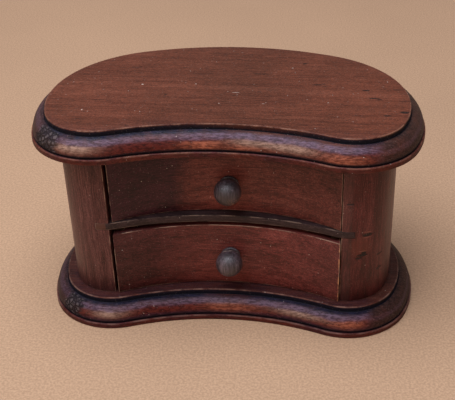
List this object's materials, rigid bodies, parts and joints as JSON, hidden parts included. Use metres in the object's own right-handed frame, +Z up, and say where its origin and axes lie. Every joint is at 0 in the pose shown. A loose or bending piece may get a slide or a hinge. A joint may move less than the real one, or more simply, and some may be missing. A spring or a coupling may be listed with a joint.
{
  "type": "kidney-shaped chest of drawers",
  "caption": "Small table-top chest of drawers, kidney shaped in plan, with moulded top and base boards, a hollow front and turned ball knobs.",
  "frame": {"origin": "on the ground, in the middle of the bounding rectangle of the base board", "axes": "+X to the right seen from the front, -Y out of the drawer fronts, +Z up"},
  "size_m": [0.26, 0.1569, 0.149],
  "materials": {
    "top_board": "satin",
    "base_board": "satin",
    "post": "satin",
    "back_panel": "satin",
    "drawer_divider": "satin",
    "dowel": "raw",
    "screw": "satin",
    "drawer_front": "satin",
    "drawer_box": "raw",
    "drawer_bottom": "raw",
    "knob": "satin"
  },
  "bodies": {
    "carcass": {"top_board": "top_board", "base_board": "base_board", "left_post": "post", "right_post": "post", "back_panel": "back_panel", "drawer_divider": "drawer_divider", "top_dowels": "dowel", "base_screws": "screw"},
    "upper_drawer": {"upper_drawer_front": "drawer_front", "upper_drawer_left_side": "drawer_box", "upper_drawer_right_side": "drawer_box", "upper_drawer_back": "drawer_box", "upper_drawer_bottom": "drawer_bottom", "upper_knob": "knob"},
    "lower_drawer": {"lower_drawer_front": "drawer_front", "lower_drawer_left_side": "drawer_box", "lower_drawer_right_side": "drawer_box", "lower_drawer_back": "drawer_box", "lower_drawer_bottom": "drawer_bottom", "lower_knob": "knob"}
  },
  "joints": [
    {"name": "upper_drawer_slide", "type": "slide", "parent": "carcass", "child": "upper_drawer", "axis": [0, -1, 0], "range_m": [0, 0.065]},
    {"name": "lower_drawer_slide", "type": "slide", "parent": "carcass", "child": "lower_drawer", "axis": [0, -1, 0], "range_m": [0, 0.065]}
  ]
}
